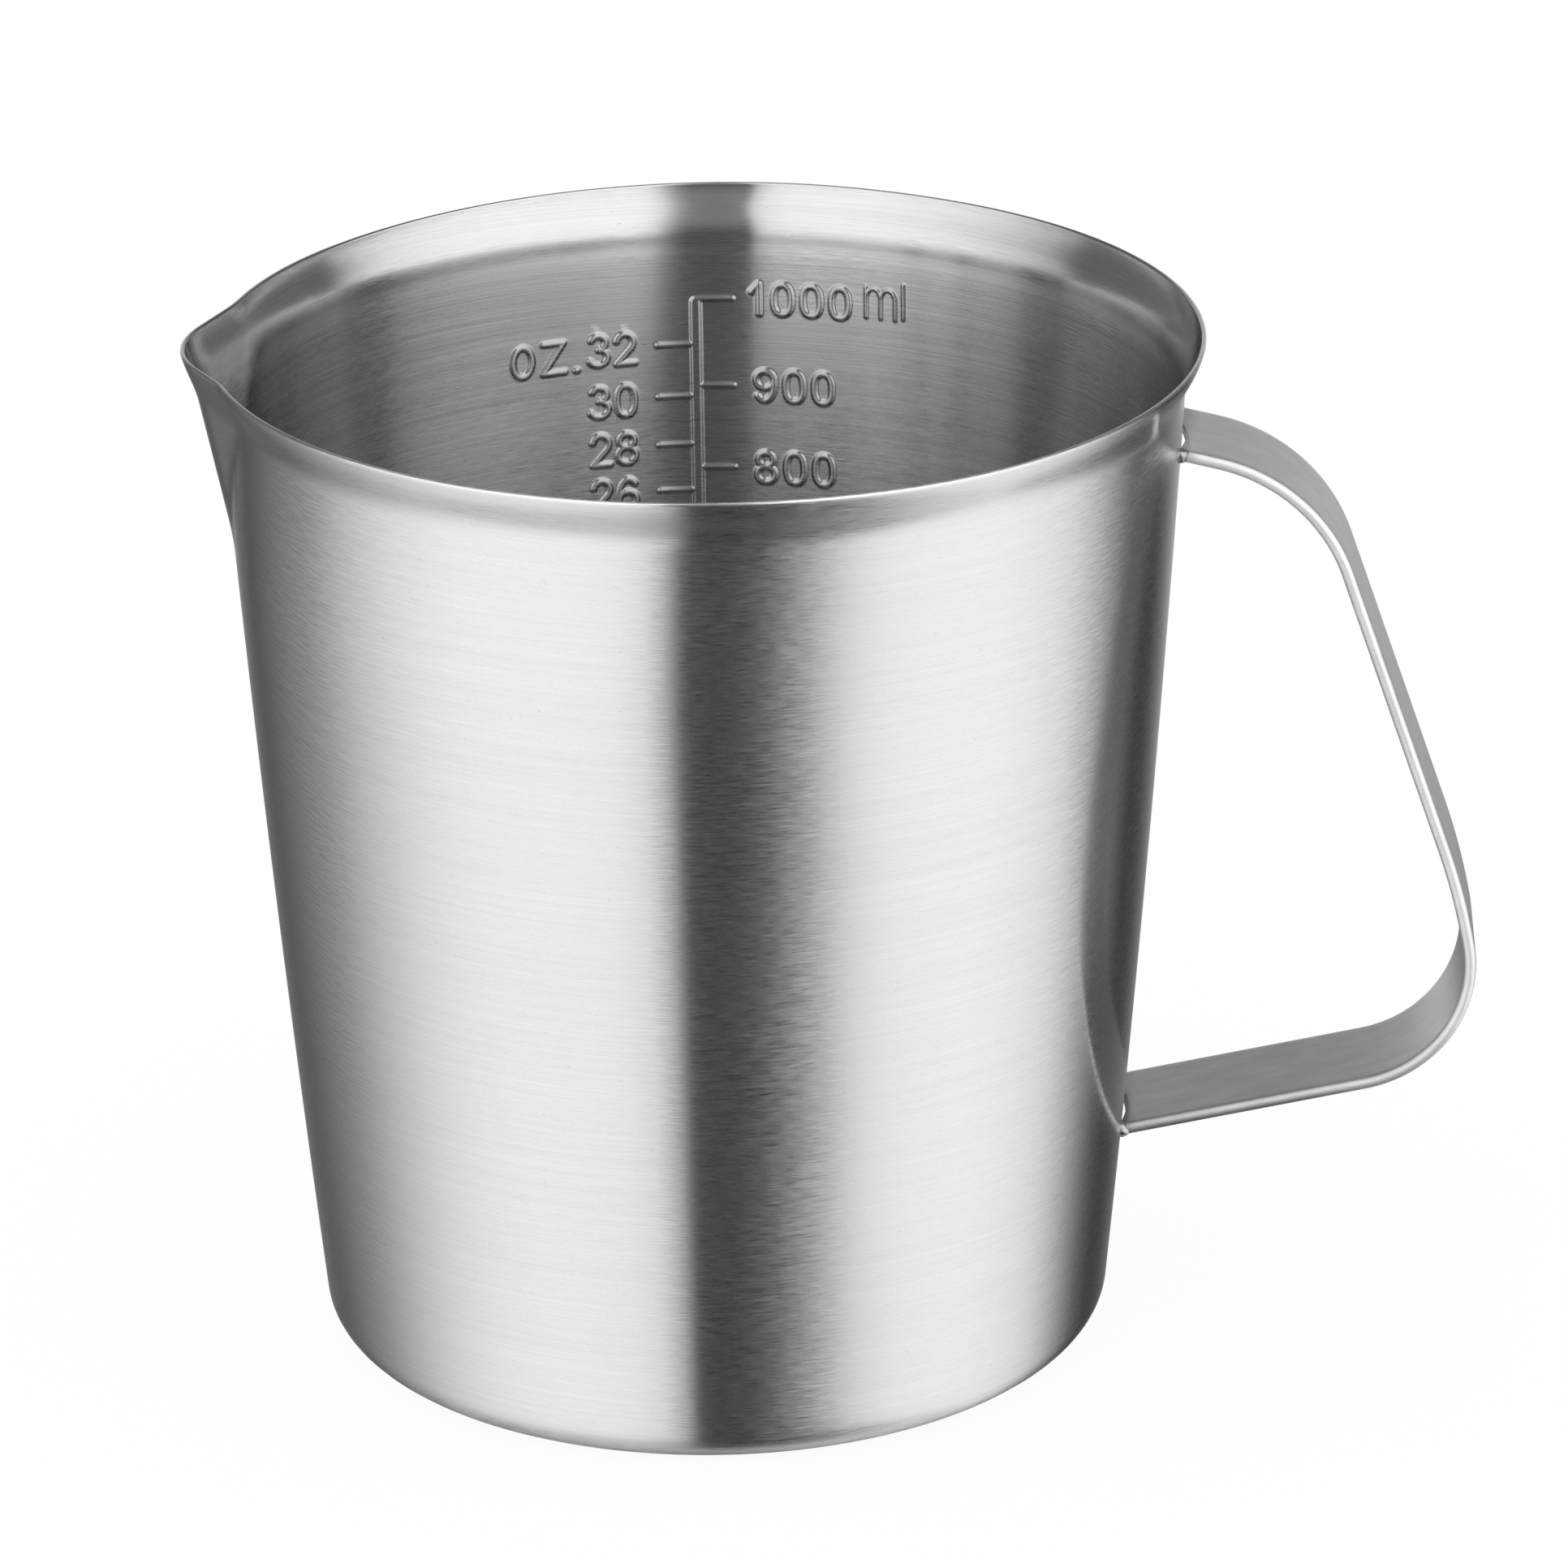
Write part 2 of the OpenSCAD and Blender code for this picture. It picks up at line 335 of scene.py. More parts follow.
def corner_ring(lean, inset):
    """Point of the base corner where the normal leans this far, in radians, from straight down."""
    slope = math.atan(wall_slope(CORNER_RADIUS))
    middle = wall_radius(CORNER_RADIUS) - CORNER_RADIUS / math.cos(slope)
    r = CORNER_RADIUS - inset
    return middle + r * math.sin(lean), CORNER_RADIUS - r * math.cos(lean)


CORNER_LEAN = math.pi / 2 - math.atan(wall_slope(CORNER_RADIUS))
CORNER_TOP = corner_ring(CORNER_LEAN, 0)[1]
wall_heights = np.concatenate([
    np.arange(CORNER_TOP + FIRST_RING, PULL_FOOT, WALL_STEP),
    np.arange(PULL_FOOT, SHOULDER - RIM_STEP / 2, RIM_STEP),
    np.linspace(SHOULDER, CUP_HEIGHT - SHEET / 2, LIP_RINGS),
])
print(len(wall_heights), "heights from", round(wall_heights[0], 2), "to", round(wall_heights[-1], 2), "mm")

# %% Rings of the outline
EDGE_STEPS = 8
FLOOR_RINGS = 6
LIP_END = math.atan(LIP_END_SLOPE)
SLOPE_STEP = 0.05
SPOUT_SIDE = 28.0
PLAIN_TURN, SPOUT_TURN = 1.0, 0.4


def half_outline(inset):
    """Rings from the axis to the lip: ("flat", radius, height) or ("wall", inset, height)."""
    rings = [("flat", corner_ring(0, inset)[0] * k / FLOOR_RINGS, inset) for k in range(1, FLOOR_RINGS)]
    for k in range(CORNER_STEPS + 1):
        radius, height = corner_ring(CORNER_LEAN * k / CORNER_STEPS, inset)
        rings.append(("flat", radius, height))
    return rings + [("wall", inset, z) for z in wall_heights]


edge_rings = [("edge", math.pi * k / EDGE_STEPS, CUP_HEIGHT - SHEET / 2) for k in range(1, EDGE_STEPS)]
rings = half_outline(0.0) + edge_rings + half_outline(SHEET)[::-1]

plain = np.arange(0.0, 360.0, PLAIN_TURN)
plain = plain[np.abs(plain - SPOUT_AZIMUTH) > SPOUT_SIDE + SPOUT_TURN]
pressed = np.arange(SPOUT_AZIMUTH - SPOUT_SIDE, SPOUT_AZIMUTH + SPOUT_SIDE, SPOUT_TURN)
columns = np.sort(np.concatenate([pressed, plain]))


def ring_points(ring, azimuth):
    """Points of one ring at the given azimuths in degrees, in mm."""
    kind, value, height = ring
    z = np.full_like(azimuth, height)
    if kind == "flat":
        radius = np.full_like(azimuth, value)
    elif kind == "wall":
        above, below = np.array(height + SLOPE_STEP), np.array(height - SLOPE_STEP)
        rise = float(skin_radius(above) - skin_radius(below)) / (2 * SLOPE_STEP)
        radius = outer_radius(azimuth, z) - value * math.hypot(1, rise)
    else:
        half = SHEET / 2 / math.cos(LIP_END)
        radius = outer_radius(azimuth, z) - half + half * math.cos(value)
        z = z + SHEET / 2 * math.sin(value)
    around = np.radians(azimuth)
    return np.stack([radius * np.cos(around), radius * np.sin(around), z], 1)


print(len(rings), "rings of", len(columns), "points")

# %% Fine grid over the scale
FIELD_AZIMUTH = (60.0, 118.0)
FIELD_HEIGHT = (6.0, 121.0)

around_count = len(columns)
field_columns = np.where((columns >= FIELD_AZIMUTH[0]) & (columns <= FIELD_AZIMUTH[1]))[0]
first, last = field_columns[0], field_columns[-1]


def field_grid(rows, split, step, widen):
    """Grid over the field of one skin: the grid row of each ring, the relief and the pushed points."""
    counts = [max(1, round(abs(rings[j + 1][2] - rings[j][2]) / step)) for j in rows[:-1]]
    starts = np.concatenate([[0], np.cumsum(counts)])
    heights = [np.linspace(rings[j][2], rings[j + 1][2], n, endpoint=False) for j, n in zip(rows, counts)]
    heights = np.concatenate(heights + [[rings[rows[-1]][2]]])
    azimuths = np.linspace(columns[first], columns[last], (last - first) * split + 1)
    up = np.repeat(heights[:, None], len(azimuths), 1)
    along = -np.radians(azimuths[None, :] - BAR_AZIMUTH) * (skin_radius(up) - SHEET)
    relief = scale_relief(along, up, widen)
    spots = np.stack([ring_points(("wall", rings[rows[0]][1], z), azimuths) for z in heights])
    radial = np.hypot(spots[..., 0], spots[..., 1])
    spots[..., :2] *= ((radial - relief) / radial)[..., None]
    return starts, relief, spots


print("field of", len(field_columns), "columns")

# %% Split the quads that carry the scale
# A skin has its inset, its splits of a quad round the cup, its step up the wall and the softening, in mm.
OUTSIDE = (0.0, 4, 0.26, 0.15)
INSIDE = (SHEET, 8, 0.125, 0.0)

cup_points = np.concatenate([ring_points(ring, columns) for ring in rings])
cup_faces = []
covered = set()


def split_field(points, rows, split, step, widen):
    """Split the marked quads of one skin; gives the points back with the new ones added."""
    starts, relief, spots = field_grid(rows, split, step, widen)
    names = np.full(relief.shape, -1)
    coarse = np.array(rows)[:, None] * around_count + np.arange(first, last + 1)[None, :]
    on_rings = np.ix_(starts, np.arange(0, relief.shape[1], split))
    names[on_rings] = coarse
    points[coarse] = spots[on_rings]

    marked, unmarked, extra = [], [], [points]
    for r, j in enumerate(rows[:-1]):
        for c in range(last - first):
            block = np.s_[starts[r]:starts[r + 1] + 1, c * split:(c + 1) * split + 1]
            has_mark = relief[block].max() > 0
            assert not (has_mark and (c in (0, last - first - 1) or r in (0, len(rows) - 2)))
            (marked if has_mark else unmarked).append(block)
            covered.add((j, first + c))
    total = len(points)
    for block in marked:
        patch = names[block]
        fresh = patch < 0
        patch[fresh] = total + np.arange(fresh.sum())
        extra.append(spots[block][fresh])
        total += int(fresh.sum())
        quads = np.stack([patch[:-1, :-1], patch[:-1, 1:], patch[1:, 1:], patch[1:, :-1]], -1)
        cup_faces.extend(quads.reshape(-1, 4).tolist())
    for block in unmarked:
        patch = names[block]
        edge = np.concatenate([patch[0], patch[1:, -1], patch[-1, -2::-1], patch[-2:0:-1, 0]])
        cup_faces.append(edge[edge >= 0].tolist())
    print(len(marked), "of", len(marked) + len(unmarked), "quads carry a mark")
    return np.concatenate(extra)


for inset, split, step, widen in (OUTSIDE, INSIDE):
    rows = [j for j, ring in enumerate(rings) if ring[0] == "wall" and ring[1] == inset
            and FIELD_HEIGHT[0] <= ring[2] <= FIELD_HEIGHT[1]]
    inner_start = len(cup_points)
    cup_points = split_field(cup_points, rows, split, step, widen)

# %% Join the rest of the skin
for j in range(len(rings) - 1):
    for i in range(around_count):
        beside = (i + 1) % around_count
        if (j, i) not in covered:
            low, high = j * around_count, (j + 1) * around_count
            cup_faces.append([low + i, low + beside, high + beside, high + i])
centre = len(cup_points)
cup_points = np.vstack([cup_points, [[0, 0, 0]], [[0, 0, SHEET]]])
last_ring = (len(rings) - 1) * around_count
for i in range(around_count):
    beside = (i + 1) % around_count
    cup_faces.append([centre, beside, i])
    cup_faces.append([centre + 1, last_ring + i, last_ring + beside])


def make_piece(name, points, faces, smooth_faces=True):
    """Mesh object from points in mm and faces."""
    mesh = bpy.data.meshes.new(name)
    corners = [tuple(int(v) for v in face) for face in faces]
    mesh.from_pydata((np.asarray(points) * MM).tolist(), [], corners)
    mesh.validate()
    mesh.update()
    if smooth_faces:
        mesh.polygons.foreach_set("use_smooth", [True] * len(mesh.polygons))
    piece = bpy.data.objects.new(name, mesh)
    bpy.context.scene.collection.objects.link(piece)
    return piece


cup = make_piece("cup_skin", cup_points, cup_faces)
inside = np.zeros(len(cup_points))
first_inside = len(half_outline(0.0)) + EDGE_STEPS // 2
inside[first_inside * around_count:len(rings) * around_count] = 1
inside[inner_start:] = 1
inside[centre] = 0
cup.data.attributes.new("inside", "FLOAT", "POINT").data.foreach_set("value", inside)
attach(cup, "root")
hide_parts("cup")
print("cup skin:", len(cup.data.vertices), "points,", len(cup.data.polygons), "faces")

# %% [markdown]
# The strap handle
#
# The handle is a flat strip with rolled edges, bent over a former: a short arm, a round bend, a long
# straight grip, an easy bend, a tight bend and the lower arm. A curve with a bevel would do, but its
# ends could not be hollowed to the wall. So the section is carried along the bends ring by ring, and
# the two end rings are pulled back to the curve of the cup.

# %% Middle line of the strap
STRAP_WIDE, STRAP_THICK = 17.0, 1.5
ARM_HEIGHT = 115.0
UPPER_FALL, UPPER_ARM, UPPER_BEND = 13.3, 4.8, 22.2
GRIP_FALL, GRIP_LENGTH = 71.2, 38.0
EASY_BEND, EASY_FALL = 87.0, 80.0
LOWER_BEND, LOWER_RISE = 16.3, 12.1
LOWER_DROP = 7.0

arm_x = float(wall_radius(ARM_HEIGHT))
strap_line = [(arm_x, ARM_HEIGHT, UPPER_FALL)]


def run_on(length, steps):
    """Carry the line straight on."""
    x, z, fall = strap_line[-1]
    tilt = math.radians(fall)
    for k in range(1, steps + 1):
        run = length * k / steps
        strap_line.append((x + run * math.cos(tilt), z - run * math.sin(tilt), fall))


def bend_on(radius, end, steps):
    """Carry the line on in a bend, until it falls at the end angle."""
    x, z, fall = strap_line[-1]
    tilt = math.radians(fall)
    for k in range(1, steps + 1):
        now = fall + (end - fall) * k / steps
        out = math.sin(math.radians(now)) - math.sin(tilt)
        up = math.cos(math.radians(now)) - math.cos(tilt)
        strap_line.append((x + radius * out, z + radius * up, now))


run_on(UPPER_ARM, steps=2)
bend_on(UPPER_BEND, GRIP_FALL, steps=28)
run_on(GRIP_LENGTH, steps=16)
bend_on(EASY_BEND, EASY_FALL, steps=8)
bend_on(LOWER_BEND, 180 - LOWER_RISE, steps=32)
lower_x, lower_z, _ = strap_line[-1]
lower_length = (lower_x - wall_radius(lower_z - LOWER_DROP)) / math.cos(math.radians(LOWER_RISE))
run_on(lower_length, steps=14)
print("strap line:", len(strap_line), "places, lower end at", [round(v, 2) for v in strap_line[-1]])

# %% Section of the strap and the seats of its ends
EDGE_ROUND = 10
FACE_STEPS = 20
STRAP_FLAT = STRAP_WIDE / 2 - STRAP_THICK / 2
HANDLE_TURN = -3.8
END_HOLLOW, END_LAND = 24.0, 1.3


def strap_outline():
    """Section of the strap as (across, out) points: two flat faces and two round edges."""
    section = []
    for side in (1, -1):
        for k in range(FACE_STEPS):
            section.append((side * (-STRAP_FLAT + 2 * STRAP_FLAT * k / FACE_STEPS), side * STRAP_THICK / 2))
        for k in range(EDGE_ROUND):
            angle = math.pi / 2 - math.pi * k / EDGE_ROUND
            section.append((side * (STRAP_FLAT + STRAP_THICK / 2 * math.cos(angle)),
                            side * STRAP_THICK / 2 * math.sin(angle)))
    return section


def turned(x, y):
    """Turn a plan point about the upright line at the upper end of the strap."""
    swing = math.radians(HANDLE_TURN)
    dx = x - arm_x
    return arm_x + dx * math.cos(swing) - y * math.sin(swing), dx * math.sin(swing) + y * math.cos(swing)


def strap_middle(seat):
    """Sideways place of the strap's middle where the wall has this radius."""
    return (seat - arm_x) * math.sin(math.radians(HANDLE_TURN))


def wall_gap(x, y, z):
    """How far a point of the strap end lies outside the hollowed seat, along x."""
    seat = float(wall_radius(z))
    hollow = STRAP_WIDE / 2 - END_LAND
    centre = math.sqrt(seat ** 2 - hollow ** 2) - math.sqrt(END_HOLLOW ** 2 - hollow ** 2)
    off = abs(y - strap_middle(seat))
    edge = centre + math.sqrt(max(END_HOLLOW ** 2 - off ** 2, 0)) if off < hollow else 0
    return x - max(math.sqrt(seat ** 2 - y ** 2), edge)


section = strap_outline()
print("section of", len(section), "points, ends hollowed to a radius of", END_HOLLOW, "mm")

# %% Sweep the strap
SEAT_TRIES = 8

strap_points = []
for place, (x, z, fall) in enumerate(strap_line):
    tilt = math.radians(fall)
    for across, out in section:
        px, pz = x + out * math.sin(tilt), z + out * math.cos(tilt)
        if place in (0, len(strap_line) - 1):
            for _ in range(SEAT_TRIES):
                tx, ty = turned(px, across)
                shift = wall_gap(tx, ty, pz) / math.cos(tilt)
                px, pz = px - shift * math.cos(tilt), pz + shift * math.sin(tilt)
        tx, ty = turned(px, across)
        strap_points.append((tx, ty, pz))

ring = len(section)
strap_faces = []
for place in range(len(strap_line) - 1):
    for k in range(ring):
        a, b = place * ring + k, place * ring + (k + 1) % ring
        strap_faces.append((a, b, b + ring, a + ring))
end_ring = (len(strap_line) - 1) * ring
for k in range(-EDGE_ROUND // 2, FACE_STEPS + EDGE_ROUND // 2):
    a, b = k % ring, (k + 1) % ring
    across_b, across_a = ((2 * FACE_STEPS + EDGE_ROUND - v) % ring for v in (b, a))
    cap = list(dict.fromkeys((a, b, across_b, across_a)))
    strap_faces.append(tuple(cap[::-1]))
    strap_faces.append(tuple(end_ring + v for v in cap))
strap = make_piece("strap_handle", strap_points, strap_faces)
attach(strap, "root")
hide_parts("handle")
print("strap:", len(strap.data.vertices), "points, width", STRAP_WIDE, "mm")

# %% Lengths along the strap, and its rubbed edges
lengths = [0.0]
for (x0, z0, _), (x1, z1, _) in zip(strap_line[:-1], strap_line[1:]):
    lengths.append(lengths[-1] + math.hypot(x1 - x0, z1 - z0))
strap_place = np.array([(length * MM, across * MM) for length in lengths for across, _ in section])
corners = np.zeros(len(strap.data.loops), int)
strap.data.loops.foreach_get("vertex_index", corners)
strap.data.uv_layers.new(name="along_and_across").data.foreach_set("uv", strap_place[corners].ravel())
round_share = (np.abs(strap_place[:, 1]) / MM - STRAP_FLAT) / (STRAP_THICK / 2)
rubbed = strap.data.attributes.new("rubbed", "FLOAT", "POINT")
rubbed.data.foreach_set("value", np.clip(round_share * 2, 0, 1))
print("strap is", round(lengths[-1], 1), "mm long")

# %% [markdown]
# The weld beads
#
# Each corner of the strap ends is tacked to the cup with one small bead. A molten bead is a flattened,
# slightly lumpy ball that wets both metals, and it doesn't come through the sheet. An icosphere pushed
# about by a smooth noise would do; here the lumps come from a few sine waves, which give the same beads
# on every run.

# %% Form of a bead
BEAD_RADIUS = 0.95
BEAD_FLAT = 0.95
LUMPS_ROUND, LUMPS_UP = 0.07, 0.06
BEAD_ROWS, BEAD_COLUMNS = 14, 24


def ball_faces(rows, columns):
    """Faces of a ball that has a first point, rows of points and a last point."""
    faces = []
    end = 1 + (rows - 1) * columns
    for k in range(columns):
        beside = (k + 1) % columns
        faces.append((0, 1 + k, 1 + beside))
        for r in range(rows - 1):
            a = 1 + r * columns
            faces.append((a + k, a + columns + k, a + columns + beside, a + beside))
        faces.append((end + k, end + columns, end + beside))
    return faces


def bead(x, y, z, seed):
    """Points of one lumpy bead round a centre in mm."""
    points = [(x, y, z + BEAD_RADIUS)]
    for i in range(1, BEAD_ROWS):
        polar = math.pi * i / BEAD_ROWS
        for k in range(BEAD_COLUMNS):
            around = 2 * math.pi * k / BEAD_COLUMNS
            lump = 1 + LUMPS_ROUND * math.sin(3 * around + seed) * math.sin(polar)
            reach = BEAD_RADIUS * (lump + LUMPS_UP * math.cos(4 * polar + 2 * seed))
            points.append((x + reach * math.sin(polar) * math.cos(around),
                           y + reach * math.sin(polar) * math.sin(around),
                           z + reach * BEAD_FLAT * math.cos(polar)))
    return points + [(x, y, z - BEAD_RADIUS)]


# %% Lay the four beads
BEAD_INSET = 0.5
BEAD_STAND = 0.15
BEAD_SINK = 0.3


def bedded(point):
    """A bead's point, moved outwards if it would go too deep into the sheet."""
    x, y, z = point
    grow = max(1.0, (float(wall_radius(z)) - BEAD_SINK) / math.hypot(x, y))
    return x * grow, y * grow, z


bead_points, bead_faces = [], []
bead_spots = [(z, side) for z in (ARM_HEIGHT, strap_line[-1][1]) for side in (-1, 1)]
for number, (z, side) in enumerate(bead_spots):
    seat = float(wall_radius(z))
    y = strap_middle(seat) + side * (STRAP_WIDE / 2 - BEAD_INSET)
    points = bead(math.sqrt(seat ** 2 - y ** 2) + BEAD_STAND, y, z, number + 1.0)
    shift = len(bead_points)
    bead_points += [bedded(point) for point in points]
    bead_faces += [tuple(v + shift for v in face) for face in ball_faces(BEAD_ROWS - 1, BEAD_COLUMNS)]
beads = make_piece("weld_beads", bead_points, bead_faces)
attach(beads, "root")
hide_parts("welds")
print("weld beads:", len(beads.data.vertices), "points")

# %% [markdown]
# Brushed steel of the cup
#
# The cup was turned against an abrasive belt, so its scratches run round it. Such steel mirrors sharply
# along the scratches and smears light across them, which is why the lights become upright bands. An
# image of scratches could be wrapped round the cup, but it would show a seam. The shader gets the smear
# from its anisotropy instead, and fine noise, stretched round the axis, adds the scratches themselves
# to colour, roughness and bump. Inside, the wall and the lip get darker greys, which are painted shade
# inside the cup. The scratches there are cut at a slant, so the shading normal leans up a little there.
# The lip is polished, and the inside of the spout is painted darker still, as shade.

# %% Helpers for shader nodes
def new_material(name, metallic=0.0):
    material = bpy.data.materials.new(name)
    material.use_nodes = True
    shader = material.node_tree.nodes["Principled BSDF"]
    shader.inputs["Metallic"].default_value = metallic
    return material, material.node_tree, shader


def add(tree, kind, **settings):
    """Add a node; a setting is one of its sockets or else one of its own properties."""
    node = tree.nodes.new(kind)
    for key, value in settings.items():
        if key in node.inputs:
            node.inputs[key].default_value = value
        else:
            setattr(node, key, value)
    return node


def plug(tree, value, slot):
    """Set a socket to a number, or link another socket to it."""
    if isinstance(value, (int, float)):
        slot.default_value = value
    else:
        tree.links.new(value, slot)


def maths(tree, operation, first, second):
    """One sum on two sockets or numbers."""
    node = add(tree, "ShaderNodeMath", operation=operation)
    plug(tree, first, node.inputs[0])
    plug(tree, second, node.inputs[1])
    return node.outputs[0]


def times(tree, first, second):
    return maths(tree, "MULTIPLY", first, second)


def join(tree, x, y, z):
    """A vector from three sockets or numbers."""
    node = add(tree, "ShaderNodeCombineXYZ")
    for value, slot in zip((x, y, z), node.inputs):
        plug(tree, value, slot)
    return node.outputs[0]


def parts(tree, vector):
    """The three numbers of a vector."""
    node = add(tree, "ShaderNodeSeparateXYZ")
    tree.links.new(vector, node.inputs[0])
    return node.outputs


# %% Helpers for patterns and bumps
NOISE_LOW, NOISE_HIGH = 0.3, 0.7
BUMP_DEPTH = 0.0002


def noise(tree, vector, detail, roughness, scale=1.0):
    node = add(tree, "ShaderNodeTexNoise", Scale=scale, Detail=detail, Roughness=roughness)
    tree.links.new(vector, node.inputs["Vector"])
    return node.outputs["Fac"]


def ramp(tree, value, low, high, to_low, to_high):
    """Map a value from one range to another, and no further."""
    ranges = {"From Min": low, "From Max": high, "To Min": to_low, "To Max": to_high}
    node = add(tree, "ShaderNodeMapRange", **ranges)
    tree.links.new(value, node.inputs["Value"])
    return node.outputs["Result"]


def spread(tree, pattern, to_low, to_high):
    """Map the usual range of a noise to another range."""
    return ramp(tree, pattern, NOISE_LOW, NOISE_HIGH, to_low, to_high)


def grey(tree, value):
    """Turn a number into a grey colour."""
    node = add(tree, "ShaderNodeCombineColor")
    for channel in ("Red", "Green", "Blue"):
        tree.links.new(value, node.inputs[channel])
    return node.outputs["Color"]


def bumped(tree, shader, height, strength, normal=None):
    """Lay a bump on a shader, on the given normal or on the surface's own."""
    bump = add(tree, "ShaderNodeBump", Strength=strength, Distance=BUMP_DEPTH)
    tree.links.new(height, bump.inputs["Height"])
    if normal is not None:
        tree.links.new(normal, bump.inputs["Normal"])
    tree.links.new(bump.outputs["Normal"], shader.inputs["Normal"])


# %% Grain and grooves of the cup
BEND_ZONE = (0.1208, 0.1245)
GROOVE_SLANT = 0.18


def turned_place(tree, around, across):
    """Object place in metres, drawn out round the axis and packed along the outline of the cup."""
    x, y, z = parts(tree, add(tree, "ShaderNodeTexCoord").outputs["Object"])
    square = maths(tree, "ADD", times(tree, x, x), times(tree, y, y))
    radius = maths(tree, "POWER", square, 0.5)
    length = times(tree, maths(tree, "ADD", radius, z), across)
    return join(tree, times(tree, x, around), times(tree, y, around), length)


def slanted_normal(tree, inside, height):
    """Normal of the surface, leaning up on the inside wall as far as the bend into the lip."""
    below_bend = ramp(tree, height, *BEND_ZONE, 1.0, 0.0)
    tilt = times(tree, times(tree, inside, below_bend), GROOVE_SLANT)
    leaning = add(tree, "ShaderNodeVectorMath", operation="ADD")
    tree.links.new(add(tree, "ShaderNodeNewGeometry").outputs["Normal"], leaning.inputs[0])
    tree.links.new(join(tree, 0.0, 0.0, tilt), leaning.inputs[1])
    unit = add(tree, "ShaderNodeVectorMath", operation="NORMALIZE")
    tree.links.new(leaning.outputs[0], unit.inputs[0])
    return unit.outputs[0]


# %% Steel of the cup
# The inside wall and the inside of the lip get darker greys than the outside: painted shade inside the cup.
OUTER_GREY, INNER_SHADE_GREY, LIP_SHADE_GREY = 0.68, 0.36, 0.50
OUTER_ROUGH, INNER_ROUGH, LIP_ROUGH = (0.14, 0.34), (0.15, 0.32), (0.10, 0.22)
LIP_ZONE = (0.1190, 0.1228)
# The inside of the spout is painted darker: painted shade.
SPOUT_SHADE_ZONE, SPOUT_SHADE = (-0.050, -0.057), 0.15
SCRATCH_TONE, INNER_SCRATCHES = 0.026, 2.3
BAND_TONE = 0.010
SPECK_ZONE, SPECK_LOSS = (0.74, 0.82), 0.12
POLISH_ZONE = (0.38, 0.62)
SCRATCH_BUMP = 0.005
# Waves in a metre round the cup and along its outline.
SCRATCH_GRAIN, BAND_GRAIN = (18.0, 4800.0), (9.0, 620.0)
POLISH_GRAIN, SPECK_GRAIN = (400.0, 30000.0), (1500.0, 2600.0)


def cup_steel():
    material, tree, shader = new_material("cup_steel", metallic=1.0)
    shader.inputs["Anisotropic"].default_value = 1.0
    shader.inputs["Anisotropic Rotation"].default_value = 0.25
    tangent = add(tree, "ShaderNodeTangent", direction_type="RADIAL", axis="Z")
    tree.links.new(tangent.outputs["Tangent"], shader.inputs["Tangent"])
    x, _, height = parts(tree, add(tree, "ShaderNodeTexCoord").outputs["Object"])
    inside = add(tree, "ShaderNodeAttribute", attribute_name="inside").outputs["Fac"]
    lip_inside = times(tree, inside, ramp(tree, height, *LIP_ZONE, 0.0, 1.0))
    wall_inside = maths(tree, "SUBTRACT", inside, lip_inside)

    def by_place(outer, inner, at_lip):
        """One number for the outside, changed on the inside wall and inside the lip."""
        value = maths(tree, "ADD", outer, times(tree, wall_inside, inner - outer))
        return maths(tree, "ADD", value, times(tree, lip_inside, at_lip - outer))

    scratches = noise(tree, turned_place(tree, *SCRATCH_GRAIN), 5.0, 0.6)
    bands = noise(tree, turned_place(tree, *BAND_GRAIN), 4.0, 0.6)
    polish = noise(tree, turned_place(tree, *POLISH_GRAIN), 1.0, 0.5)
    specks = noise(tree, turned_place(tree, *SPECK_GRAIN), 1.0, 0.5)
    tone = spread(tree, scratches, -SCRATCH_TONE, SCRATCH_TONE)
    tone = times(tree, tone, by_place(1.0, INNER_SCRATCHES, 1.0))
    tone = maths(tree, "ADD", tone, spread(tree, bands, -BAND_TONE, BAND_TONE))
    # The inside greys are painted shade inside the cup.
    tone = maths(tree, "ADD", tone, by_place(OUTER_GREY, INNER_SHADE_GREY, LIP_SHADE_GREY))
    # Painted shade inside the spout.
    pressed = ramp(tree, x, *SPOUT_SHADE_ZONE, 0.0, SPOUT_SHADE)
    tone = maths(tree, "SUBTRACT", tone, times(tree, inside, pressed))
    tone = maths(tree, "SUBTRACT", tone, ramp(tree, specks, *SPECK_ZONE, 0.0, SPECK_LOSS))
    tree.links.new(grey(tree, tone), shader.inputs["Base Color"])
    low, high = (by_place(*places) for places in zip(OUTER_ROUGH, INNER_ROUGH, LIP_ROUGH))
    share = ramp(tree, polish, *POLISH_ZONE, 0.0, 1.0)
    rough = maths(tree, "ADD", low, times(tree, share, maths(tree, "SUBTRACT", high, low)))
    tree.links.new(rough, shader.inputs["Roughness"])
    bumped(tree, shader, scratches, SCRATCH_BUMP, slanted_normal(tree, inside, height))
    return material


def finish(piece, material):
    """Give a piece its one material."""
    piece.data.materials.clear()
    piece.data.materials.append(material)
    print(piece.name, "is finished in", material.name)


finish(cup, cup_steel())

# %% [markdown]
# Finish of the strap
#
# The strip was brushed along its length while it was flat. Its rolled edges are rubbed paler and even.
# The lower arm is painted darker, as shade, most of all where its rounded edges face down. Wear and
# painted shade could be laid on as an image, but noise that is stretched along the strap's own length,
# and the share of rubbed edge that was kept with the mesh, follow it round every bend.

# %% Steel of the strap
STRAP_GREY, STRAP_ROUGH = (0.64, 0.72), (0.34, 0.42)
BLOTCH_TONE = 0.045
RUBBED_GAIN, RUBBED_ROUGH = 0.14, 0.2
# The lower arm is painted darker, as shade, most of all where its rounded edges face down.
LOWER_SHADE_ZONE, LOWER_SHADE = (0.085, 0.112), 0.17
UNDER_SHADE_ZONE, UNDER_SHADE = (0.5, -0.4), 0.42
LINE_GRAIN, BLOTCH_GRAIN = (60.0, 2200.0), (160.0, 420.0)
LINE_BUMP = 0.02


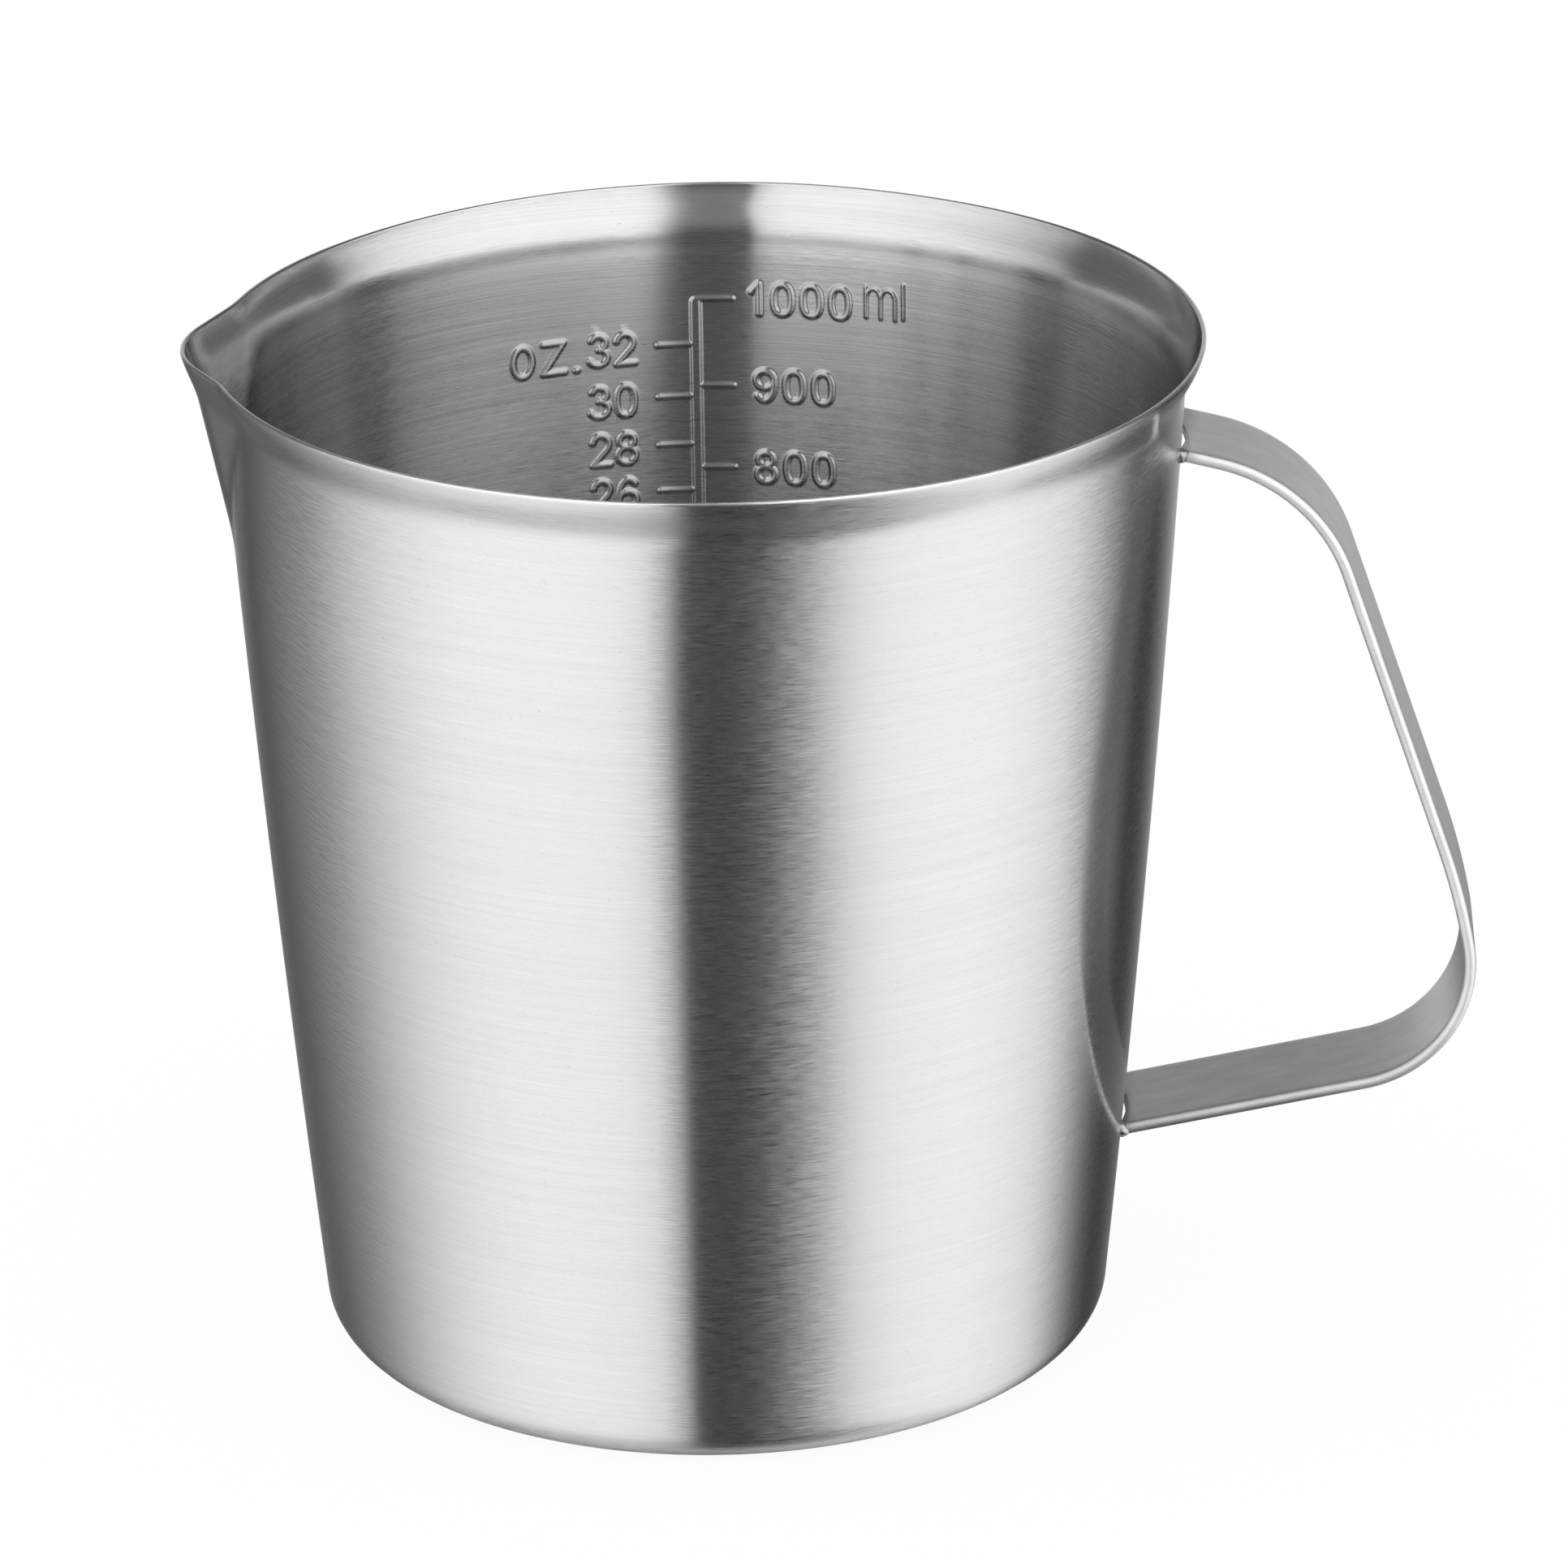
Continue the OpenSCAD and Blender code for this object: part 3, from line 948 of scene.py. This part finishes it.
def strap_steel():
    material, tree, shader = new_material("strap_steel", metallic=1.0)
    along, across, _ = parts(tree, add(tree, "ShaderNodeTexCoord").outputs["UV"])

    def stretched(by_length, by_width):
        """Place on the strap, stretched along and across it."""
        length = times(tree, along, by_length)
        return join(tree, length, times(tree, across, by_width), 0.0)

    lines = noise(tree, stretched(*LINE_GRAIN), 5.0, 0.65)
    blotches = noise(tree, stretched(*BLOTCH_GRAIN), 3.0, 0.6)
    rubbed = add(tree, "ShaderNodeAttribute", attribute_name="rubbed").outputs["Fac"]
    # Painted shade on the lower arm, deepest where the rounded edges face down.
    lower = ramp(tree, along, *LOWER_SHADE_ZONE, 0.0, 1.0)
    _, _, facing_up = parts(tree, add(tree, "ShaderNodeNewGeometry").outputs["Normal"])
    under = times(tree, rubbed, ramp(tree, facing_up, *UNDER_SHADE_ZONE, 0.0, UNDER_SHADE))
    painted_shade = times(tree, lower, maths(tree, "ADD", LOWER_SHADE, under))
    tone = spread(tree, lines, *STRAP_GREY)
    tone = maths(tree, "ADD", tone, spread(tree, blotches, -BLOTCH_TONE, BLOTCH_TONE))
    tone = maths(tree, "ADD", tone, times(tree, rubbed, RUBBED_GAIN))
    tree.links.new(grey(tree, maths(tree, "SUBTRACT", tone, painted_shade)), shader.inputs["Base Color"])
    rough = spread(tree, lines, *STRAP_ROUGH)
    rough = maths(tree, "ADD", rough, times(tree, rubbed, RUBBED_ROUGH))
    tree.links.new(rough, shader.inputs["Roughness"])
    bumped(tree, shader, times(tree, lines, maths(tree, "SUBTRACT", 1.0, rubbed)), LINE_BUMP)
    return material


finish(strap, strap_steel())

# %% [markdown]
# Finish of the beads
#
# A weld that was only wiped clean is darker than brushed metal, with small uneven lumps. The lumps could
# be sculpted, but at this size one noise for grey, roughness and bump shows the same.

# %% Metal of the beads
BEAD_GREY, BEAD_ROUGH = (0.28, 0.50), (0.20, 0.38)
LUMP_GRAIN, LUMP_BUMP = 1400.0, 0.3


def bead_metal():
    material, tree, shader = new_material("bead_metal", metallic=1.0)
    source = add(tree, "ShaderNodeTexCoord")
    lumps = noise(tree, source.outputs["Object"], 3.0, 0.6, scale=LUMP_GRAIN)
    tree.links.new(grey(tree, spread(tree, lumps, *BEAD_GREY)), shader.inputs["Base Color"])
    tree.links.new(spread(tree, lumps, *BEAD_ROUGH), shader.inputs["Roughness"])
    bumped(tree, shader, lumps, LUMP_BUMP)
    return material


finish(beads, bead_metal())

# %% [markdown]
# The floor and the light
#
# The jug stands on a plain pale sheet, so bright that the picture shows it white, with only a soft
# shadow under the base. Lamps could light the sheet, but a white world does it evenly from all sides.
# The share of the sheet that glows for the viewer is kept below one, or the shadow would be lost.
# Mirrored rays pass through the sheet and meet the tent of the next step.

# %% Floor and world
FLOOR_SIZE = 6.0
FLOOR_GREY = 0.97
FLOOR_GLOW = 0.93
FLOOR_ROUGH = 0.9

floor_corners = np.array([(-1, -1, 0), (1, -1, 0), (1, 1, 0), (-1, 1, 0)]) * FLOOR_SIZE / 2 / MM
floor = make_piece("floor", floor_corners, [(0, 1, 2, 3)], smooth_faces=False)
floor.visible_glossy = False
material, tree, shader = new_material("pale_floor")
shader.inputs["Base Color"].default_value = (FLOOR_GREY, FLOOR_GREY, FLOOR_GREY, 1)
shader.inputs["Roughness"].default_value = FLOOR_ROUGH
shader.inputs["Specular IOR Level"].default_value = 0.0
glow = add(tree, "ShaderNodeEmission", Strength=1.0)
mix = add(tree, "ShaderNodeMixShader")
path = add(tree, "ShaderNodeLightPath")
seen = path.outputs["Is Camera Ray"]
for kind in ("Is Glossy Ray", "Is Transmission Ray"):
    seen = maths(tree, "MAXIMUM", seen, path.outputs[kind])
tree.links.new(ramp(tree, seen, 0, 1, 0, FLOOR_GLOW), mix.inputs["Fac"])
tree.links.new(shader.outputs[0], mix.inputs[1])
tree.links.new(glow.outputs[0], mix.inputs[2])
tree.links.new(mix.outputs[0], tree.nodes["Material Output"].inputs["Surface"])
floor.data.materials.append(material)

world = bpy.data.worlds.new("white_world")
bpy.context.scene.world = world
world.use_nodes = True
sky = world.node_tree.nodes["Background"]
sky.inputs["Color"].default_value = (1, 1, 1, 1)
sky.inputs["Strength"].default_value = 1.0
print("floor", FLOOR_SIZE, "m wide, grey", FLOOR_GREY)

# %% [markdown]
# The mirror tent
#
# Bare steel shows only what stands round it. A photographer puts it in a white tent that is bright in
# front and behind, lets the sides towards the back go dark so that the edges of the metal stand out
# from a white page, and leaves a slit for the lens, which shows as the dark band down the front. Cards
# and lamps could be set up one by one, but one large ball round the jug, painted inside with those
# greys, is easier to steer. Only mirrored rays see it, so it throws no light on the floor. A place in
# the tent is a direction from the jug: x to the right, y away from the viewer and z up, from -1 to 1.

# %% Side walls of the tent
# Pairs of a place from front to back and its grey, then of a height and how far the greys move there.
LEFT_WEDGE = [(-0.60, 0.96), (-0.33, 0.85), (-0.08, 0.63), (0.17, 0.38), (0.41, 0.21), (0.61, 0.08),
              (0.69, 0.12), (0.76, 0.24), (0.81, 0.46), (0.92, 0.90)]
RIGHT_WEDGE = [(-0.45, 0.97), (-0.20, 0.89), (-0.07, 0.82), (0.06, 0.66), (0.18, 0.40), (0.30, 0.14),
               (0.40, 0.04), (0.51, 0.04), (0.60, 0.12), (0.66, 0.22), (0.74, 0.42), (0.90, 0.90)]
LEFT_LEAN = [(-1.0, -0.20), (-0.60, -0.10), (-0.53, -0.075), (-0.48, -0.11), (-0.42, -0.16),
             (-0.35, -0.22), (-0.20, -0.10), (0.0, 0.0)]
RIGHT_LEAN = [(-1.0, -0.45), (-0.60, -0.25), (-0.52, -0.20), (-0.45, -0.25), (-0.41, -0.28),
              (-0.38, -0.275), (-0.20, -0.10), (0.0, 0.0)]
SIDE_BLEND = 0.15


def read_off(pairs, place):
    """Value at a place on a list of (place, value) pairs, straight between them."""
    return np.interp(place, [pair[0] for pair in pairs], [pair[1] for pair in pairs])


def smooth(low, high, value):
    """Soft step from 0 at the low value to 1 at the high one."""
    return ease(np.clip((value - low) / (high - low), 0, 1))


def side_grey(x, y, z):
    """Grey of the two side walls, blended where they meet."""
    left = read_off(LEFT_WEDGE, y + read_off(LEFT_LEAN, z))
    right = read_off(RIGHT_WEDGE, y + read_off(RIGHT_LEAN, z))
    side = smooth(-SIDE_BLEND, SIDE_BLEND, x)
    return left * (1 - side) + right * side


print("greys at the sides:", side_grey(-1, 0, 0), side_grey(1, 0, 0))

# %% Slit for the lens
# Pairs of a distance from the slit's edge and the share of cloth there.
SLIT_LEFT = [(-0.04, 0.0), (0.02, 0.60), (0.12, 0.88), (0.30, 0.97), (0.60, 1.0)]
SLIT_RIGHT = [(-0.25, 0.0), (-0.12, 0.10), (0.0, 0.33), (0.13, 0.72), (0.30, 0.95), (0.60, 1.0)]
LOW_RISE, HIGH_RISE = -0.6, 0.15
LEFT_EDGE, LEFT_DRIFT = -0.24, 0.15
LOW_EDGE, LOW_DRIFT = -0.148, 0.075
RIGHT_EDGE, RIGHT_DRIFT = 0.262, 0.446
LOW_BLUR, HIGH_BLUR, LEFT_BLUR, BLUR_GROWTH = 1.0, 0.42, 0.8, 0.8
SLIT_DARK, SLIT_PALER = 0.05, 0.15
PALER_ZONE = (0.1, 0.6)
NEARLY_NONE = 0.02


def slit_share(x, y, z):
    """Share of the cloth's grey that is left beside and inside the slit."""
    ahead = np.maximum(-y, NEARLY_NONE)
    across, rise = x / ahead, z / ahead
    low_left = LOW_EDGE + LOW_DRIFT * (rise - LOW_RISE)
    left = np.where(rise < LOW_RISE, low_left, LEFT_EDGE - LEFT_DRIFT * np.minimum(rise, 0.0))
    right = RIGHT_EDGE - RIGHT_DRIFT * np.minimum(rise, HIGH_RISE)
    low_blur = rise / LOW_RISE * BLUR_GROWTH + LOW_BLUR - BLUR_GROWTH
    blur = np.interp(rise, [LOW_RISE, HIGH_RISE], [LOW_BLUR, HIGH_BLUR])
    blur = np.where(rise < LOW_RISE, low_blur, blur)
    cloth_left = read_off(SLIT_LEFT, (left - across) / np.maximum(blur, LEFT_BLUR))
    cloth_right = read_off(SLIT_RIGHT, (across - right) / blur)
    dark = SLIT_DARK + SLIT_PALER * smooth(*PALER_ZONE, rise)
    share = dark + (1 - dark) * np.minimum(cloth_left + cloth_right, 1)
    return np.where(y < -NEARLY_NONE, share, 1)


print("share of cloth straight ahead:", slit_share(0, -1, 0))

# %% Brightness of the tent
TENT_LEVEL = 1.25
STAND_REACH, STAND_BLUR = 0.70, 0.1
STAND_GREY, STAND_TOP = 0.66, -0.3
BACK_RISE = [(-0.40, 1.0), (-0.10, 0.80), (0.10, 0.62), (0.35, 0.48), (0.60, 0.48), (0.85, 0.95),
             (1.0, 1.0)]
BACK_ZONE = (0.0, 0.5)
FRONT_LIFT, FRONT_RISE, FRONT_END = 0.50, (-0.08, 0.08), (0.1, 0.5)
BELT_LIFT, BELT_FOOT, BELT_TOP = 0.06, (-0.48, -0.43), (-0.3, -0.1)
CORNER_GREY = 0.21
CORNER_SIDE, CORNER_FOOT, CORNER_FRONT = (0.45, 0.65), (-0.12, 0.0), (0.12, 0.32)


def stand_share(x, y, z):
    """Darker disc that the jug stands on."""
    out = np.hypot(x, y) / np.maximum(-z, NEARLY_NONE)
    cloth = smooth((1 - STAND_BLUR) * STAND_REACH, (1 + STAND_BLUR) * STAND_REACH, out)
    return np.where(z < STAND_TOP, STAND_GREY + (1 - STAND_GREY) * cloth, 1)


def tent_level(y, z):
    """Light on the cloth: less high up behind, more high up in front and in a belt below the middle."""
    back = 1 + (read_off(BACK_RISE, z) - 1) * smooth(*BACK_ZONE, y)
    front = smooth(*FRONT_RISE, z) * (1 - smooth(*FRONT_END, y))
    belt = smooth(*BELT_FOOT, z) * (1 - smooth(*BELT_TOP, z))
    return TENT_LEVEL * back * (1 + FRONT_LIFT * front) * (1 + BELT_LIFT * belt)


def tent_grey(x, y, z):
    """Brightness of the tent in a direction; the two upper corners behind have one grey."""
    cloth = side_grey(x, y, z) * slit_share(x, y, z) * stand_share(x, y, z) * tent_level(y, z)
    corner = smooth(*CORNER_SIDE, np.abs(x)) * smooth(*CORNER_FOOT, z) * smooth(*CORNER_FRONT, y)
    return cloth * (1 - corner) + CORNER_GREY * corner


print("tent straight ahead and behind:", tent_grey(0, -1, 0), tent_grey(0, 1, 0))

# %% Paint the tent
TENT_RADIUS = 3000.0
TENT_STEP = 1.0

tent_rows = np.radians(np.arange(-90 + TENT_STEP, 90, TENT_STEP))
tent_turns = np.radians(np.arange(0, 360, TENT_STEP))
tent_points = [(0, 0, -1)]
for row in tent_rows:
    out, up = math.cos(row), math.sin(row)
    tent_points += [(out * math.sin(turn), -out * math.cos(turn), up) for turn in tent_turns]
tent_points = np.array(tent_points + [(0, 0, 1)])
tent_faces = ball_faces(len(tent_rows), len(tent_turns))
tent = make_piece("mirror_tent", tent_points * TENT_RADIUS, tent_faces)
paint = tent.data.attributes.new("grey", "FLOAT", "POINT")
paint.data.foreach_set("value", tent_grey(*tent_points.T))
material, tree, shader = new_material("tent_cloth")
tree.nodes.remove(shader)
value = add(tree, "ShaderNodeAttribute", attribute_name="grey")
glow = add(tree, "ShaderNodeEmission")
tree.links.new(value.outputs["Fac"], glow.inputs["Strength"])
tree.links.new(glow.outputs[0], tree.nodes["Material Output"].inputs["Surface"])
material.cycles.emission_sampling = "NONE"
tent.data.materials.append(material)
tent.visible_camera = False
tent.visible_diffuse = False
tent.visible_shadow = False
tent.visible_transmission = False
print("tent painted:", len(tent_points), "places")

# %% [markdown]
# The camera
#
# The camera stands where the photograph was taken: almost a metre in front and well above the rim, with
# a long lens. It could be aimed by eye at the jug's middle, but its place and tilt were found by laying
# the turned outline of the cup over the picture, so the rim's curve agrees too.

# %% Set the camera
from mathutils import Matrix, Vector

CAMERA_PLACE = (-9.49, -936.67, 443.69)
CAMERA_DOWN = 21.751
CAMERA_ROLL = 0.744
JUG_TURN = 1.15
LENS_PIXELS = 10000.0
PHOTO_PIXELS = 1932.0
SENSOR = 36.0

camera_data = bpy.data.cameras.new("camera")
camera_data.sensor_width = SENSOR
camera_data.sensor_fit = "HORIZONTAL"
camera_data.lens = LENS_PIXELS / PHOTO_PIXELS * SENSOR
camera = bpy.data.objects.new("camera", camera_data)
bpy.context.scene.collection.objects.link(camera)
down, roll, swing = (math.radians(v) for v in (CAMERA_DOWN, CAMERA_ROLL, JUG_TURN))
spin = Matrix.Rotation(-swing, 3, "Z")
right = spin @ Vector((1, 0, 0))
up = spin @ Vector((0, math.sin(down), math.cos(down)))
forward = spin @ Vector((0, math.cos(down), -math.sin(down)))
across = right * math.cos(roll) - up * math.sin(roll)
upward = right * math.sin(roll) + up * math.cos(roll)
turn = Matrix((across, upward, -forward)).transposed()
camera.matrix_world = Matrix.Translation(Vector(CAMERA_PLACE) * MM) @ turn.to_4x4()
bpy.context.scene.camera = camera
print("camera", [round(v, 4) for v in camera.location], "lens", round(camera_data.lens, 1), "mm")

# %% [markdown]
# The picture
#
# The plain view transform keeps the white of the page white.

bpy.context.scene.view_settings.view_transform = "Standard"
